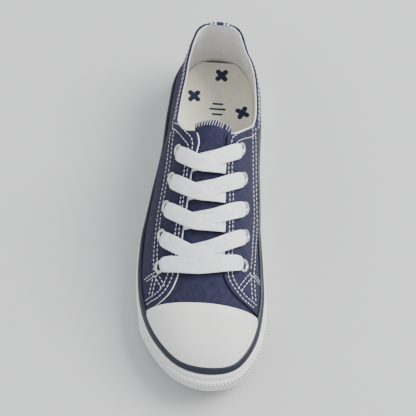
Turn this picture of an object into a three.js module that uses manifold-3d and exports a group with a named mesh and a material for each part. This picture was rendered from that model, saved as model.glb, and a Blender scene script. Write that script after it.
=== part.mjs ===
// A low canvas sneaker for the right foot, EU size 35, standing empty on its sole.
// Millimetres, +Z up. The toe points to -Y and the inner (big toe) side of the foot is +X.
// Every curved piece is a shell or a slice of one form, the shoe last, made larger or smaller.

import * as THREE from 'three';
import { mergeVertices } from 'three/addons/utils/BufferGeometryUtils.js';
import Module from 'manifold-3d';

const wasm = await Module();
wasm.setup();

// Driving dimensions. "Station" is the distance from the heel of the last towards the toe.
const LAST_LENGTH = 240;
const LAST_MIDDLE = 120.8; // station that lies at y = 0, half way along the finished shoe
const WALL = 2; // canvas and lining together
const GAP = 0.3; // clearance between pieces that touch
const FOXING_THICKNESS = 3;
const STRIPE_HEIGHT = 4.2;
const BUMPER_THICKNESS = 1.3;
const CAP_THICKNESS = 1.6;
const INSOLE_THICKNESS = 3.5;
const TONGUE_THICKNESS = 2.2;
const LACE_WIDTH = 10.5;
const LACE_THICKNESS = 1.6;
const CAP_REAR_STATION = 196;
const BUMPER_REAR_STATION = 188;

// Bottom outline of the last as [x, station], from the heel up the outer side and back.
const LAST_OUTLINE = [
  [-1, 0], [-16, 4], [-26.5, 20], [-29.3, 46], [-30.2, 82], [-35, 116], [-41.6, 146], [-42, 174],
  [-36.5, 200], [-26, 219], [-10, 234.5], [8, 240], [25.5, 234.5], [37, 216], [41, 188], [38.3, 158],
  [31.6, 124], [28, 92], [27.6, 50], [24.6, 20], [14, 4],
];

// Heights above the floor as [station, height].
const RIDGE_HEIGHT = [[20, 112], [60, 106], [85, 97], [97, 91], [108, 87], [124, 81], [142, 74],
  [160, 66.5], [178, 59.5], [194, 53.5], [206, 49.5], [216, 46], [228, 41.2], [246, 33]];
const COLLAR_HEIGHT = [[-16, 75], [0, 74.5], [14, 73], [30, 68], [46, 63.8], [58, 62.8], [66, 63.4],
  [71, 65.8], [76, 71.5], [81, 78], [85.5, 83], [88.5, 88], [90, 100], [90, 140]];
const SOLE_BOTTOM = [[-20, 2.2], [0, 1.6], [9, 0], [22, 0], [72, 0], [84, 0.9], [101, 2], [118, 0.9],
  [130, 0], [150, 0], [180, 0], [194, 1], [208, 3], [222, 6], [234, 9.4], [260, 17]];
const SOLE_TOP = [[-20, 15], [80, 14.5], [130, 12], [180, 11.5], [194, 12.5], [208, 14.5],
  [222, 17.5], [234, 21], [260, 28.5]];
const FOXING_TOP = [[-20, 27], [60, 25], [120, 24], [180, 24.5], [194, 25.5], [208, 27.5],
  [222, 30], [234, 33], [260, 40]];

// How square the cross-section's shoulder is, and how far the wall bulges over the sole edge.
const SQUARENESS = [[0, 3.2], [4, 2.6], [10, 1.9], [20, 1.6], [36, 1.6], [60, 1.7], [90, 1.95],
  [150, 2.05], [185, 2.2], [240, 2.6]];
const BULGE = [[0, 0.8], [30, 2.5], [60, 4], [100, 5], [118, 4], [135, 1.8], [155, 0.3], [170, 0]];

// How far the collar leans to the inner side: none below LEAN_START, all of it LEAN_RISE above that.
const LEAN = [[0, 0], [14, 0.3], [25, 2], [40, 3.2], [60, 3], [72, 2], [88, 0]];
const LEAN_START = 28;
const LEAN_RISE = 34;

const canvas = new THREE.MeshStandardMaterial({ color: 0x2d2f50, roughness: 0.95, metalness: 0 });
const whiteRubber = new THREE.MeshStandardMaterial({ color: 0xe4e4de, roughness: 0.55, metalness: 0 });
const stripeRubber = new THREE.MeshStandardMaterial({ color: 0x233042, roughness: 0.35, metalness: 0 });
const soleRubber = new THREE.MeshStandardMaterial({ color: 0xd8d4c8, roughness: 0.7, metalness: 0 });
const sockCloth = new THREE.MeshStandardMaterial({ color: 0xd6cfc0, roughness: 0.9, metalness: 0 });
const laceCotton = new THREE.MeshStandardMaterial({ color: 0xe2e7ec, roughness: 0.9, metalness: 0 });
const eyeletMetal = new THREE.MeshStandardMaterial({ color: 0xb9bbbd, roughness: 0.3, metalness: 1 });

// Smooth value through a list of [position, value] points, with level ends.
function along(points, position) {
  const last = points.length - 1;
  if (position <= points[0][0]) return points[0][1];
  if (position >= points[last][0]) return points[last][1];
  const i = points.findIndex((point) => point[0] > position) - 1;
  const slope = (k) => {
    if (k === 0 || k === last) return 0;
    const before = (points[k][1] - points[k - 1][1]) / (points[k][0] - points[k - 1][0]);
    const after = (points[k + 1][1] - points[k][1]) / (points[k + 1][0] - points[k][0]);
    if (before * after <= 0) return 0;
    return (2 * before * after) / (before + after);
  };
  const span = points[i + 1][0] - points[i][0];
  const t = (position - points[i][0]) / span;
  const rise = points[i + 1][1] - points[i][1];
  const start = slope(i) * span;
  const end = slope(i + 1) * span;
  return points[i][1] + start * t + (3 * rise - 2 * start - end) * t ** 2
    + (start + end - 2 * rise) * t ** 3;
}

const outlineCurve = new THREE.CatmullRomCurve3(
  LAST_OUTLINE.map(([x, station]) => new THREE.Vector3(x, station, 0)), true, 'centripetal');
const OUTLINE_SAMPLES = 480;
const outlinePoints = outlineCurve.getSpacedPoints(OUTLINE_SAMPLES).slice(0, OUTLINE_SAMPLES);

// The outline moved outwards, as two lists of points from heel to toe, one for each side.
const outlineCache = new Map();
function outlineSides(offset) {
  if (outlineCache.has(offset)) return outlineCache.get(offset);
  const moved = outlinePoints.map((point, i) => {
    const before = outlinePoints[(i + OUTLINE_SAMPLES - 1) % OUTLINE_SAMPLES];
    const after = outlinePoints[(i + 1) % OUTLINE_SAMPLES];
    const tangent = after.clone().sub(before).normalize();
    return new THREE.Vector2(point.x - tangent.y * offset, point.y + tangent.x * offset);
  });
  const stations = moved.map((point) => point.y);
  const heel = stations.indexOf(Math.min(...stations));
  const toe = stations.indexOf(Math.max(...stations));
  const walk = (from, to) => {
    const points = [];
    for (let i = from; i % OUTLINE_SAMPLES !== to; i += 1) points.push(moved[i % OUTLINE_SAMPLES]);
    return [...points, moved[to]];
  };
  const sides = { outer: walk(heel, toe), inner: walk(toe, heel).reverse() };
  outlineCache.set(offset, sides);
  return sides;
}

// x of one side of the outline at a station.
function outlineX(side, station) {
  const i = side.findIndex((point) => point.y >= station);
  if (i <= 0) return i === 0 ? side[0].x : side[side.length - 1].x;
  const t = (station - side[i - 1].y) / (side[i].y - side[i - 1].y || 1);
  return side[i - 1].x + (side[i].x - side[i - 1].x) * t;
}

// The ridge stops short of heel and toe, so the end sections fan round like the real last.
const END_ZONE = 50;
function ridgeStation(station) {
  const fromEnd = Math.min(station, LAST_LENGTH - station);
  if (fromEnd >= END_ZONE) return station;
  const held = END_ZONE / 2 + Math.max(fromEnd, 0) ** 2 / (2 * END_ZONE);
  return station < LAST_LENGTH / 2 ? held : LAST_LENGTH - held;
}

// Point on the form: side is 'outer' or 'inner', turn runs from 0 at the sole to 1 at the ridge.
function formPoint(offset, side, station, turn) {
  const sides = outlineSides(offset);
  const ridge = ridgeStation(station);
  const base = new THREE.Vector2(outlineX(sides[side], station), station);
  const middle = (outlineX(sides.outer, ridge) + outlineX(sides.inner, ridge)) / 2;
  const floor = along(SOLE_TOP, station);
  const power = 2 / along(SQUARENESS, station);
  const across = 1 - Math.max(Math.cos((turn * Math.PI) / 2), 0) ** power;
  const up = Math.sin((turn * Math.PI) / 2) ** power;
  const centre = new THREE.Vector2(middle, ridge);
  const bulge = base.clone().sub(centre).normalize()
    .multiplyScalar(along(BULGE, station) * Math.sin(Math.PI * up ** 0.75));
  const point = base.lerp(centre, across).add(bulge);
  const top = along(RIDGE_HEIGHT, point.y) + offset;
  const height = floor + (top - floor) * up;
  const lean = along(LEAN, station)
    * THREE.MathUtils.smoothstep(height, LEAN_START, LEAN_START + LEAN_RISE);
  return new THREE.Vector3(point.x + lean, LAST_MIDDLE - point.y, height);
}

// A closed solid through sections of the same number of points; a section may shrink to a line.
function loft(sections) {
  const count = sections[0].length;
  const positions = sections.flat().flatMap((point) => point.toArray());
  const faces = [];
  for (let row = 0; row + 1 < sections.length; row += 1) {
    for (let i = 0; i < count; i += 1) {
      const a = row * count + i;
      const b = row * count + ((i + 1) % count);
      faces.push(a, b, a + count, b, b + count, a + count);
    }
  }
  const end = (sections.length - 1) * count;
  for (let i = 0; 2 * i + 2 < count; i += 1) {
    const [a, b, c, d] = [i, i + 1, count - 2 - i, count - 1 - i];
    faces.push(a, c, b, a, d, c);
    faces.push(end + a, end + b, end + c, end + a, end + c, end + d);
  }
  const geometry = new THREE.BufferGeometry();
  geometry.setAttribute('position', new THREE.Float32BufferAttribute(positions, 3));
  geometry.setIndex(faces);
  return solidOf(geometry);
}

// A boolean solid from any closed geometry, turned right side out.
function solidOf(geometry) {
  const bare = geometry.clone();
  bare.deleteAttribute('normal');
  bare.deleteAttribute('uv');
  const welded = mergeVertices(bare, 1e-4);
  const index = welded.index.array;
  const vertProperties = welded.attributes.position.array;
  const triangles = [];
  for (let i = 0; i < index.length; i += 3) {
    const [a, b, c] = index.slice(i, i + 3);
    if (a !== b && b !== c && c !== a) triangles.push([a, b, c]);
  }
  const make = (list) => new wasm.Manifold(
    new wasm.Mesh({ numProp: 3, vertProperties, triVerts: new Uint32Array(list.flat()) }));
  const made = make(triangles);
  return made.volume() > 0 ? made : make(triangles.map(([a, b, c]) => [a, c, b]));
}

// Stations closer together at heel and toe, where the outline turns.
function stationsBetween(first, last, count) {
  return Array.from({ length: count + 1 }, (_, i) => (
    first + ((last - first) * (1 - Math.cos((Math.PI * i) / count))) / 2));
}

// The last made larger by offset, with its sides carried straight down below the sole.
const BELOW = -20;
function form(offset, stationCount = 24, turnCount = 7) {
  const sections = stationsBetween(-offset, LAST_LENGTH + offset, stationCount).map((station) => {
    const half = (side) => Array.from({ length: turnCount + 1 }, (_, i) => (
      formPoint(offset, side, station, i / turnCount)));
    const outer = half('outer');
    const inner = half('inner').reverse().slice(1);
    const lowOuter = outer[0].clone().setZ(BELOW);
    const lowInner = inner[inner.length - 1].clone().setZ(BELOW);
    return [lowOuter, ...outer, ...inner, lowInner];
  });
  return loft(sections);
}

// A slab across the whole shoe between two height profiles and two stations.
const HALF_SLAB = 60;
function slab(low, high, first, last) {
  const stations = new Set([first, last]);
  [...SOLE_BOTTOM, ...FOXING_TOP].forEach(([station]) => {
    if (station > first && station < last) stations.add(station);
  });
  const sections = [...stations].sort((a, b) => a - b).map((station) => {
    const y = LAST_MIDDLE - station;
    return [
      new THREE.Vector3(-HALF_SLAB, y, low(station)), new THREE.Vector3(-HALF_SLAB, y, high(station)),
      new THREE.Vector3(HALF_SLAB, y, high(station)), new THREE.Vector3(HALF_SLAB, y, low(station)),
    ];
  });
  return loft(sections);
}

// An outline of [x, station] points cut straight down through the shoe.
function planCutter(points, low = 0, high = 160) {
  const shape = new THREE.Shape();
  const curve = new THREE.CatmullRomCurve3(
    points.map(([x, station]) => new THREE.Vector3(x, LAST_MIDDLE - station, 0)), true, 'centripetal');
  shape.setFromPoints(curve.getPoints(points.length * 3).slice(0, -1)
    .map((point) => new THREE.Vector2(point.x, point.y)));
  const geometry = new THREE.ExtrudeGeometry(shape, { depth: high - low, bevelEnabled: false });
  return solidOf(geometry.translate(0, 0, low));
}

const sneaker = new THREE.Group();
function addPiece(name, piece, material) {
  const { vertProperties, triVerts } = piece.getMesh();
  const geometry = new THREE.BufferGeometry();
  geometry.setAttribute('position', new THREE.BufferAttribute(vertProperties, 3));
  geometry.setIndex(new THREE.BufferAttribute(triVerts, 1));
  geometry.computeVertexNormals();
  const mesh = new THREE.Mesh(geometry, material);
  mesh.name = name;
  sneaker.add(mesh);
}

const soleBottom = (station) => along(SOLE_BOTTOM, station);
const soleTop = (station) => along(SOLE_TOP, station);
const foxingTop = (station) => along(FOXING_TOP, station);
const stripeTop = (station) => foxingTop(station) + GAP + STRIPE_HEIGHT;
const lift = (profile, height) => (station) => profile(station) + height;

const lastSurface = form(0);
const clearOfLast = form(GAP);
const insideWall = form(-WALL);
const insideClear = form(-WALL - GAP);

// Outsole: the full sole inside the foxing, with flex grooves that leave the main lugs.
const GROOVE_WIDTH = 3;
const GROOVE_DEPTH = 1.6;
const GROOVE_STATIONS = [24, 38, 52, 134, 148, 162, 176, 190, 204];
const GROOVE_MARGIN = 9;
function groove(station) {
  const sides = outlineSides(-GROOVE_MARGIN);
  const left = outlineX(sides.outer, station);
  const right = outlineX(sides.inner, station);
  const bar = new THREE.BoxGeometry(right - left, GROOVE_WIDTH, 2 * GROOVE_DEPTH);
  return solidOf(bar.translate((left + right) / 2, LAST_MIDDLE - station, soleBottom(station)));
}
let outsole = lastSurface.intersect(slab(soleBottom, soleTop, -10, LAST_LENGTH + 10));
GROOVE_STATIONS.forEach((station) => {
  outsole = outsole.subtract(groove(station));
});
addPiece('outsole', outsole, soleRubber);

// Foxing: the rubber strip wrapped round the sole and the lower edge of the upper.
const foxing = form(GAP + FOXING_THICKNESS)
  .intersect(slab(lift(soleBottom, 1), foxingTop, -10, LAST_LENGTH + 10))
  .subtract(clearOfLast);
addPiece('foxing', foxing, whiteRubber);

// Stripe: a thin coloured strip on the top edge of the foxing.
const stripe = form(GAP + FOXING_THICKNESS - 0.6)
  .intersect(slab(lift(foxingTop, GAP), stripeTop, -10, LAST_LENGTH + 10))
  .subtract(clearOfLast);
addPiece('side_stripe', stripe, stripeRubber);

// Toe bumper: the second, textured strip round the front of the foxing.
const bumperInside = form(2 * GAP + FOXING_THICKNESS);
const bumper = form(2 * GAP + FOXING_THICKNESS + BUMPER_THICKNESS)
  .intersect(slab(lift(soleBottom, 2), lift(foxingTop, -3), BUMPER_REAR_STATION, LAST_LENGTH + 10))
  .subtract(bumperInside);
addPiece('toe_bumper', bumper, whiteRubber);

// Toe cap: a moulded skin over the toes, cut between two sizes of the last.
const cap = form(GAP + CAP_THICKNESS)
  .intersect(slab(lift(stripeTop, GAP), () => 90, CAP_REAR_STATION, LAST_LENGTH + 10))
  .subtract(clearOfLast);
addPiece('toe_cap', cap, whiteRubber);

// Upper: one hollow wall, open at the collar, the throat and underneath.
const THROAT = [[-1, 181], [-12, 179], [-16.5, 170], [-14.5, 140], [-12, 112], [-10, 98], [-11.5, 91],
  [-15.5, 86], [-18, 80], [-17, 70], [16, 70], [16.5, 80], [12.5, 86], [10.5, 92], [10.5, 108],
  [12.5, 140], [14.5, 170], [10, 179]];
function collarCutter() {
  const line = COLLAR_HEIGHT.map(([station, height]) => new THREE.Vector2(-station, height));
  const shape = new THREE.Shape();
  shape.moveTo(line[0].x, line[0].y);
  shape.splineThru(line.slice(1));
  shape.lineTo(-COLLAR_HEIGHT[0][0], 140);
  const geometry = new THREE.ExtrudeGeometry(shape, {
    depth: 2 * HALF_SLAB, bevelEnabled: false, curveSegments: 24,
  });
  geometry.translate(0, 0, -HALF_SLAB).rotateX(Math.PI / 2).rotateZ(Math.PI / 2);
  return solidOf(geometry.translate(0, LAST_MIDDLE, 0));
}
let upper = lastSurface.subtract(insideWall)
  .intersect(slab(lift(soleTop, GAP), () => 140, -10, LAST_LENGTH + 10))
  .subtract(collarCutter())
  .subtract(planCutter(THROAT, 40));

// Eyelets: five rows from the toe up, as [station, distance from the middle of the shoe].
const EYELETS = [[169.5, 27.6], [149.5, 27.5], [131.5, 26], [113.5, 23.6], [96, 20.6]];
const MIDDLE_X = -1; // the throat's centre line
const EYELET_STAGGER = 2.5; // outer eyelets sit this much nearer the toe, inner ones nearer the heel
const EYELET_HOLE_RADIUS = 3;
const EYELET_DRILL_LENGTH = 12;
const EYELET_PROFILE = [
  [2.1, -1.9], [2.7, -1.9], [2.7, 0.4], [4.4, 0.4], [4.1, 1], [2.1, 1], [2.1, -1.9],
];
const EYELET_SEGMENTS = 10;

// Point and outward direction on the last over a place in plan, for the middle part of the shoe.
function surfaceAt(x, station, height = 0) {
  const side = x < MIDDLE_X ? 'outer' : 'inner';
  let [low, high] = [0.1, 1];
  for (let i = 0; i < 40; i += 1) {
    const turn = (low + high) / 2;
    if (Math.abs(formPoint(0, side, station, turn).x - MIDDLE_X) > Math.abs(x - MIDDLE_X)) low = turn;
    else high = turn;
  }
  const turn = Math.min(low, 0.995);
  const point = formPoint(0, side, station, turn);
  const acrossShoe = formPoint(0, side, station, turn + 0.005).sub(point);
  const alongShoe = formPoint(0, side, station + 1, turn).sub(point);
  const normal = acrossShoe.cross(alongShoe).normalize();
  if (normal.z < 0) normal.negate();
  return { point: point.addScaledVector(normal, height), normal };
}

function eyeletPlace(side, row) {
  const [station, distance] = EYELETS[row];
  const outward = side === 'outer' ? -1 : 1;
  return [MIDDLE_X + outward * distance, station - outward * EYELET_STAGGER];
}

const UP = new THREE.Vector3(0, 1, 0);
['outer', 'inner'].forEach((side) => {
  EYELETS.forEach((_, row) => {
    const { point, normal } = surfaceAt(...eyeletPlace(side, row));
    const turn = new THREE.Quaternion().setFromUnitVectors(UP, normal);
    const drill = new THREE.CylinderGeometry(
      EYELET_HOLE_RADIUS, EYELET_HOLE_RADIUS, EYELET_DRILL_LENGTH, EYELET_SEGMENTS);
    upper = upper.subtract(solidOf(drill.applyQuaternion(turn).translate(...point)));
    const profile = EYELET_PROFILE.map(([radius, height]) => new THREE.Vector2(radius, height));
    const ring = new THREE.LatheGeometry(profile, EYELET_SEGMENTS);
    ring.applyQuaternion(turn).translate(...point);
    addPiece(`eyelet_${side}_${row + 1}`, solidOf(ring), eyeletMetal);
  });
});
addPiece('upper', upper, canvas);

// Insole: a cushioned sock that lies on the sole.
const insole = insideClear
  .intersect(slab(lift(soleTop, GAP), lift(soleTop, GAP + INSOLE_THICKNESS), -10, LAST_LENGTH + 10));
addPiece('insole', insole, sockCloth);

// Tongue: a curved tab under the throat, sewn below the vamp and ending just above the top eyelets.
const TONGUE = [[-1, 194], [-17, 192], [-22, 176], [-21, 150], [-18, 122], [-14, 100], [-13, 87],
  [-10.5, 84], [8.5, 84], [11, 87], [12, 100], [16, 122], [19, 150], [20, 176], [15, 192]];
const TONGUE_DEPTH = WALL + 2 * GAP;
const tongue = form(-TONGUE_DEPTH)
  .subtract(form(-TONGUE_DEPTH - TONGUE_THICKNESS))
  .intersect(planCutter(TONGUE, 40));
addPiece('tongue', tongue, canvas);

// Laces: flat straps as [x, station, height over the last], swept with their width on the surface.
const STRAP_STEPS = 10;
function strap(stops) {
  const route = new THREE.CatmullRomCurve3(
    stops.map((stop) => new THREE.Vector3(...stop)), false, 'centripetal');
  const places = route.getPoints(STRAP_STEPS).map(({ x, y, z }) => surfaceAt(x, y, z));
  const sections = places.map(({ point, normal }, i) => {
    const before = places[Math.max(i - 1, 0)].point;
    const after = places[Math.min(i + 1, STRAP_STEPS)].point;
    const side = after.clone().sub(before).cross(normal).setLength(LACE_WIDTH / 2);
    const rise = normal.clone().multiplyScalar(LACE_THICKNESS / 2);
    return [[-1, -1], [-1, 1], [1, 1], [1, -1]].map(([a, b]) => (
      point.clone().addScaledVector(side, a).addScaledVector(rise, b)));
  });
  return loft(sections);
}

const LACE_PAST_EYELET = 2;
const LACE_HEIGHT_AT_EYELET = 2.8;
const barStops = ['outer', 'inner'].map((side) => {
  const [x, station] = eyeletPlace(side, 0);
  return [x + Math.sign(x) * LACE_PAST_EYELET, station, LACE_HEIGHT_AT_EYELET];
});
addPiece('lace_bar', strap([barStops[0], [MIDDLE_X, EYELETS[0][0], 1.8], barStops[1]]), laceCotton);

// A strap leaves the eyelet above and ends just short of the opposite edge of the throat.
const THROAT_EDGE = [[86, 9], [104, 9], [114, 10.8], [140, 13.5], [170, 15.5]];
function crossingStrap(from, to, row, heightAtMiddle) {
  const [startX, startStation] = eyeletPlace(from, row);
  const [goalX, eyeletStation] = eyeletPlace(to, row - 1);
  const goalStation = eyeletStation - LACE_PAST_EYELET * 2;
  const stationAt = (x) => (
    startStation + ((goalStation - startStation) * (x - startX)) / (goalX - startX));
  const edge = along(THROAT_EDGE, (startStation + goalStation) / 2);
  const begin = startX + Math.sign(startX) * LACE_PAST_EYELET;
  const ownEdge = MIDDLE_X + Math.sign(startX) * edge;
  const end = MIDDLE_X + Math.sign(goalX) * (edge - 2.8);
  return strap([
    [begin, stationAt(begin), LACE_HEIGHT_AT_EYELET],
    [ownEdge, stationAt(ownEdge), 1.4],
    [MIDDLE_X, stationAt(MIDDLE_X), heightAtMiddle],
    [end, stationAt(end), -1.2],
  ]);
}
for (let row = 1; row < EYELETS.length; row += 1) {
  const over = crossingStrap('outer', 'inner', row, 0.9);
  const under = crossingStrap('inner', 'outer', row, -0.5);
  addPiece(`lace_crossing_${row}`, over.add(under), laceCotton);
}

export default sneaker;
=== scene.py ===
import math

import bpy
import numpy as np
from mathutils import Matrix, Vector
from mathutils.bvhtree import BVHTree
from mathutils.kdtree import KDTree


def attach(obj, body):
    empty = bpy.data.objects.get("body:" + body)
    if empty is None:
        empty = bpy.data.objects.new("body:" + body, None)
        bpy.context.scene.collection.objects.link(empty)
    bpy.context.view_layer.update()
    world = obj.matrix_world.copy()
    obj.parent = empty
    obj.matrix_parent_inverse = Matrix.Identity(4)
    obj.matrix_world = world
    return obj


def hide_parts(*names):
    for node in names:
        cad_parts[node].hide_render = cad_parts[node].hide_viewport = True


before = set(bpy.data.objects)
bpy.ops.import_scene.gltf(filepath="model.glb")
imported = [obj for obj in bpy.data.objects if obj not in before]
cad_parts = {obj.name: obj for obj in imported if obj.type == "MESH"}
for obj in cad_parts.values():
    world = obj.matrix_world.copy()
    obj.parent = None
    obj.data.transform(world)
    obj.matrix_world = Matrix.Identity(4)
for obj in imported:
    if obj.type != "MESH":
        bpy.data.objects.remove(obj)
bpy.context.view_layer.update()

# --- Lining ---------------------------------------------------------------------------------------
# White cotton sewn inside the quarters, from one side of the throat round the heel to the other.
# Its folded edge shows as a thin light line along the collar and the outer facing.
# All skins of the upper are drawn over the last, which this section defines, in millimetres:
# "station" is the distance from the heel, "place" runs round the bottom outline from the heel by
# the outer side, and "turn" runs from 0 at the sole to 1 at the ridge of the last.
MM = 0.001
LAST_LENGTH = 240.0
LAST_MIDDLE = 120.8  # station at y = 0
END_ZONE = 50.0  # the ridge stops short of heel and toe by half of this
OUTLINE = [
    (-1, 0), (-16, 4), (-26.5, 20), (-29.3, 46), (-30.2, 82), (-35, 116), (-41.6, 146), (-42, 174),
    (-36.5, 200), (-26, 219), (-10, 234.5), (8, 240), (25.5, 234.5), (37, 216), (41, 188),
    (38.3, 158), (31.6, 124), (28, 92), (27.6, 50), (24.6, 20), (14, 4),
]
RIDGE_HEIGHT = [
    (20, 112), (60, 106), (85, 97), (97, 91), (108, 87), (124, 81), (142, 74), (160, 66.5),
    (178, 59.5), (194, 53.5), (206, 49.5), (216, 46), (228, 41.2), (246, 33),
]
SOLE_TOP = [
    (-20, 15), (80, 14.5), (130, 12), (180, 11.5), (194, 12.5), (208, 14.5), (222, 17.5), (234, 21),
    (260, 28.5),
]
SQUARENESS = [
    (0, 3.2), (4, 2.6), (10, 1.9), (20, 1.6), (36, 1.6), (60, 1.7), (90, 1.95), (150, 2.05),
    (185, 2.2), (240, 2.6),
]
BULGE = [(0, 0.8), (30, 2.5), (60, 4), (100, 5), (118, 4), (135, 1.8), (155, 0.3), (170, 0)]
LEAN = [(0, 0), (14, 0.3), (25, 2), (40, 3.2), (60, 3), (72, 2), (88, 0)]
LEAN_START, LEAN_RISE = 28.0, 34.0


def along(points, position):
    """Smooth value through (position, value) points, level at both ends."""
    at, value = np.array(points, float).T
    step = np.diff(value) / np.diff(at)
    product = step[:-1] * step[1:]
    total = np.where(product > 0, step[:-1] + step[1:], 1)
    slope = np.zeros(len(at))
    slope[1:-1] = np.where(product > 0, 2 * product / total, 0)
    position = np.clip(position, at[0], at[-1])
    i = np.clip(np.searchsorted(at, position, side="right") - 1, 0, len(at) - 2)
    span = at[i + 1] - at[i]
    t = (position - at[i]) / span
    rise = value[i + 1] - value[i]
    start, end = slope[i] * span, slope[i + 1] * span
    bend = (3 * rise - 2 * start - end) * t**2 + (start + end - 2 * rise) * t**3
    return value[i] + start * t + bend


def smooth_step(value, start, end):
    t = np.clip((value - start) / (end - start), 0, 1)
    return t * t * (3 - 2 * t)


def curve_through(stops, steps, closed=False):
    """Evenly spaced points on a smooth curve through the stops."""
    stops = np.array(stops, float)
    if closed:
        ring = np.concatenate([stops[-1:], stops, stops[:2]])
    else:
        ring = np.concatenate([2 * stops[:1] - stops[1:2], stops, 2 * stops[-1:] - stops[-2:-1]])
    t = np.linspace(0, 1, 40, endpoint=False)[:, None]
    dense = []
    for a, b, c, d in zip(ring, ring[1:], ring[2:], ring[3:]):
        ab, bc, cd = (math.sqrt(np.linalg.norm(q - p)) for p, q in ((a, b), (b, c), (c, d)))
        start = ((b - a) / ab - (c - a) / (ab + bc) + (c - b) / bc) * bc
        end = ((c - b) / bc - (d - b) / (bc + cd) + (d - c) / cd) * bc
        bend = (3 * (c - b) - 2 * start - end) * t**2 + (start + end - 2 * (c - b)) * t**3
        dense.append(b + start * t + bend)
    dense = np.concatenate(dense + [stops[:1] if closed else stops[-1:]])
    run = np.concatenate([[0], np.cumsum(np.linalg.norm(np.diff(dense, axis=0), axis=1))])
    even = np.linspace(0, run[-1], steps, endpoint=not closed)
    return np.stack([np.interp(even, run, column) for column in dense.T], -1)


OUTLINE_STEPS = 960
outline = curve_through(OUTLINE, OUTLINE_STEPS, closed=True)
outline = np.roll(outline, -int(np.argmin(outline[:, 1])), axis=0)
outline_place = np.arange(OUTLINE_STEPS) / OUTLINE_STEPS
outline_way = np.roll(outline, -1, axis=0) - np.roll(outline, 1, axis=0)
outline_way /= np.linalg.norm(outline_way, axis=1)[:, None]
outline_out = np.stack([-outline_way[:, 1], outline_way[:, 0]], -1)
toe_step = int(np.argmax(outline[:, 1]))
side_steps = {
    "outer": np.arange(toe_step + 1),
    "inner": np.arange(OUTLINE_STEPS - 1, toe_step - 1, -1),
}


def side_x(side, station):
    steps = side_steps[side]
    return np.interp(station, outline[steps, 1], outline[steps, 0])


def place_at(side, station):
    steps = side_steps[side]
    return np.interp(station, outline[steps, 1], outline_place[steps])


def last(place, turn, out=0.0):
    """Points in millimetres on the last made larger by out."""
    place, turn, out = np.broadcast_arrays(np.asarray(place, float), turn, out)
    base = np.stack([
        np.interp(place, outline_place, outline[:, k], period=1)
        + out * np.interp(place, outline_place, outline_out[:, k], period=1) for k in (0, 1)
    ], -1)
    station = base[..., 1]
    from_end = np.minimum(station, LAST_LENGTH - station)
    held = END_ZONE / 2 + np.maximum(from_end, 0) ** 2 / (2 * END_ZONE)
    held = np.where(station < LAST_LENGTH / 2, held, LAST_LENGTH - held)
    ridge = np.where(from_end >= END_ZONE, station, held)
    centre = np.stack([(side_x("outer", ridge) + side_x("inner", ridge)) / 2, ridge], -1)
    power = 2 / along(SQUARENESS, station)
    angle = turn * np.pi / 2
    across = 1 - np.maximum(np.cos(angle), 0) ** power
    up = np.sin(angle) ** power
    away = base - centre
    away /= np.linalg.norm(away, axis=-1)[..., None]
    bulge = along(BULGE, station) * np.sin(np.pi * up**0.75)
    point = base + (centre - base) * across[..., None] + away * bulge[..., None]
    floor = along(SOLE_TOP, station)
    top = along(RIDGE_HEIGHT, point[..., 1]) + out
    height = floor + (top - floor) * up
    lean = along(LEAN, station) * smooth_step(height, LEAN_START, LEAN_START + LEAN_RISE)
    return np.stack([point[..., 0] + lean, LAST_MIDDLE - point[..., 1], height], -1)


def turn_where(place, passed, out=0.0):
    """The first turn at each place whose point passes a test, found by halving."""
    low, high = np.zeros(np.shape(place)), np.ones(np.shape(place))
    for _ in range(22):
        middle = (low + high) / 2
        hit = passed(last(place, middle, out))
        high = np.where(hit, middle, high)
        low = np.where(hit, low, middle)
    return high


# The top line of the quarters: the collar as (station, height), then each facing as (station, x).
COLLAR = [
    (-16, 75), (0, 74.5), (14, 73), (30, 68), (46, 63.8), (58, 62.8), (66, 63.4), (71, 65.8),
    (76, 71.5), (81, 78), (85.5, 83), (88.5, 88), (90, 110),
]
FACING = {
    "outer": [
        (66, 8), (69, -10), (71, -23.5), (76, -20.4), (81, -17.6), (85.5, -14.8), (88.5, -12.2),
        (92.5, -10), (97, -9), (102, -9.9), (112, -12), (123, -13.2), (134, -13.8), (149, -15),
        (165, -15.8), (178, -16.3), (184, -18.2), (188, -20.2), (191, -22.8), (193.5, -26.2),
        (195.5, -30), (197.5, -35), (199, -44),
    ],
    "inner": [
        (60, -8), (63, 10), (65, 26.8), (68.5, 24.9), (73.8, 22.3), (78.5, 18.1), (83.5, 13.6),
        (87.3, 10.9), (91, 10.3), (96, 10.1), (108, 10.4), (120, 11), (133, 12.1), (150, 13.2),
        (166, 13.8), (177, 14.4), (182, 17), (186, 20.6), (189, 24.6), (191.5, 30), (193.5, 35),
        (195.5, 43),
    ],
}
FACING_START = {"outer": 71.0, "inner": 65.0}
FACING_END = {"outer": 199.0, "inner": 195.5}
LINING_SHOWS = {"outer": 1.1, "inner": -0.3}


def top_turn(side, place, out, collar_rise=0.0, facing_grow=0.0):
    """The turn at which a skin ends at the collar or facing of one side."""
    inwards = 1 if side == "outer" else -1

    def passed(point):
        station = LAST_MIDDLE - point[..., 1]
        edge = along(FACING[side], station) + inwards * facing_grow
        past_facing = (station > FACING_START[side]) & ((point[..., 0] - edge) * inwards > 0)
        return (point[..., 2] > along(COLLAR, station) + collar_rise) | past_facing

    return turn_where(place, passed, out)


def low_turn(place, out):
    """The turn at which a skin starts, just above the top of the sole."""
    floor = along(SOLE_TOP, LAST_MIDDLE - last(place, 0.0)[..., 1])
    return turn_where(place, lambda point: point[..., 2] > floor + 1.0, out)


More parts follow.
